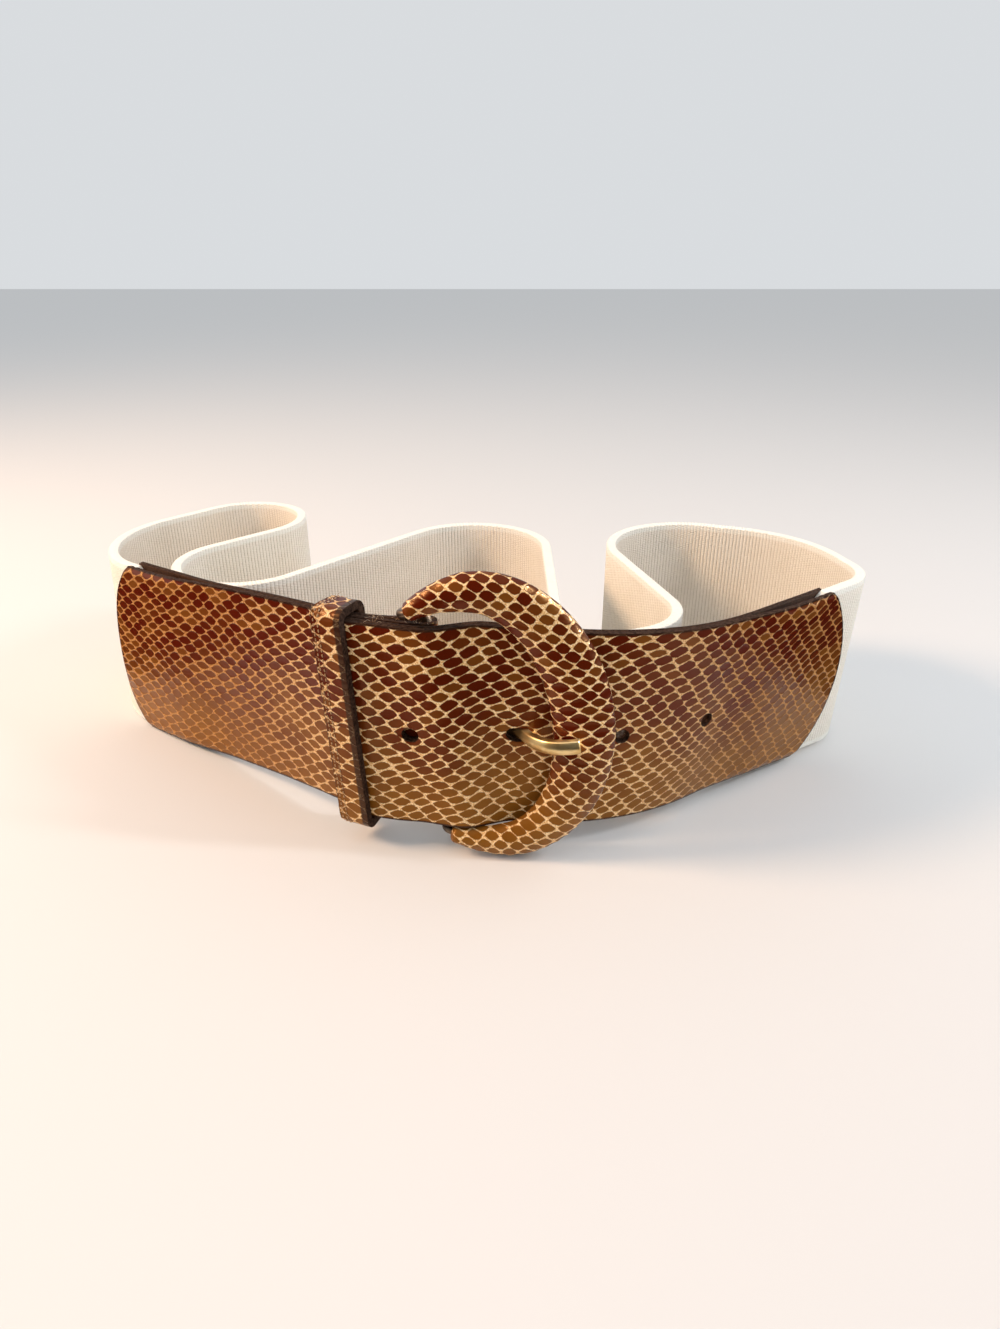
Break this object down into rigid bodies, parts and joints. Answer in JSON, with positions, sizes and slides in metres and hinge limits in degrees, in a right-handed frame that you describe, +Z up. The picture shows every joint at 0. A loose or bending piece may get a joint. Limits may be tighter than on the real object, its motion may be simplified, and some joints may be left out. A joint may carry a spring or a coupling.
{
  "type": "wide elastic belt",
  "caption": "Wide stretch waist belt with a scale-embossed leather front, covered crescent buckle, prong and keeper, standing fastened on its lower edge.",
  "frame": {"origin": "middle of the standing belt's footprint, on the surface it stands on", "axes": "+Z up, the buckled front faces -Y, +X to the right of someone looking at the front"},
  "size_m": [0.2348, 0.1468, 0.076],
  "materials": {
    "webbing": "cream woven elastic, soft and slightly fuzzy",
    "scale_leather": "glossy brown leather embossed with lizard scales",
    "lining_leather": "plain brown lining leather, semi-matt",
    "wire": "dull darkened wire",
    "brass": "worn polished brass"
  },
  "bodies": {
    "root": {"elastic_webbing": "webbing", "buckle_tab": "scale_leather", "hole_strap_face": "scale_leather", "hole_strap_lining": "lining_leather", "keeper": "scale_leather", "buckle_ring": "scale_leather", "buckle_bar": "wire", "prong": "brass"}
  },
  "joints": []
}
